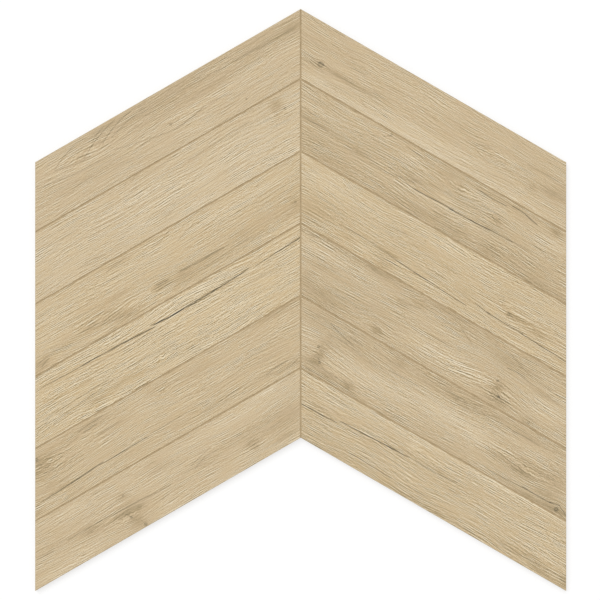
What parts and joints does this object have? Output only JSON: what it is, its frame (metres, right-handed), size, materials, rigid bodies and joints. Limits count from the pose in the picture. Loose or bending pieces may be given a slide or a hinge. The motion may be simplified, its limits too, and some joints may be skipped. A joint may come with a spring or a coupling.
{
  "type": "wood-look chevron porcelain tile",
  "caption": "Broad-arrow porcelain floor or wall tile with an oak plank chevron on its face, divided by brown scored joints, and a honeycomb of keying cells on its back.",
  "frame": {"origin": "under the middle of the tile's outline, on the plane of its back, which lies on the floor", "axes": "+X across the tile to its right side, +Y towards its point, +Z out of the face"},
  "size_m": [0.6928, 0.7594, 0.01],
  "materials": {
    "porcelain": "matt, through-pressed body with a printed oak face"
  },
  "bodies": {
    "root": {"chevron_tile": "porcelain"}
  },
  "joints": []
}
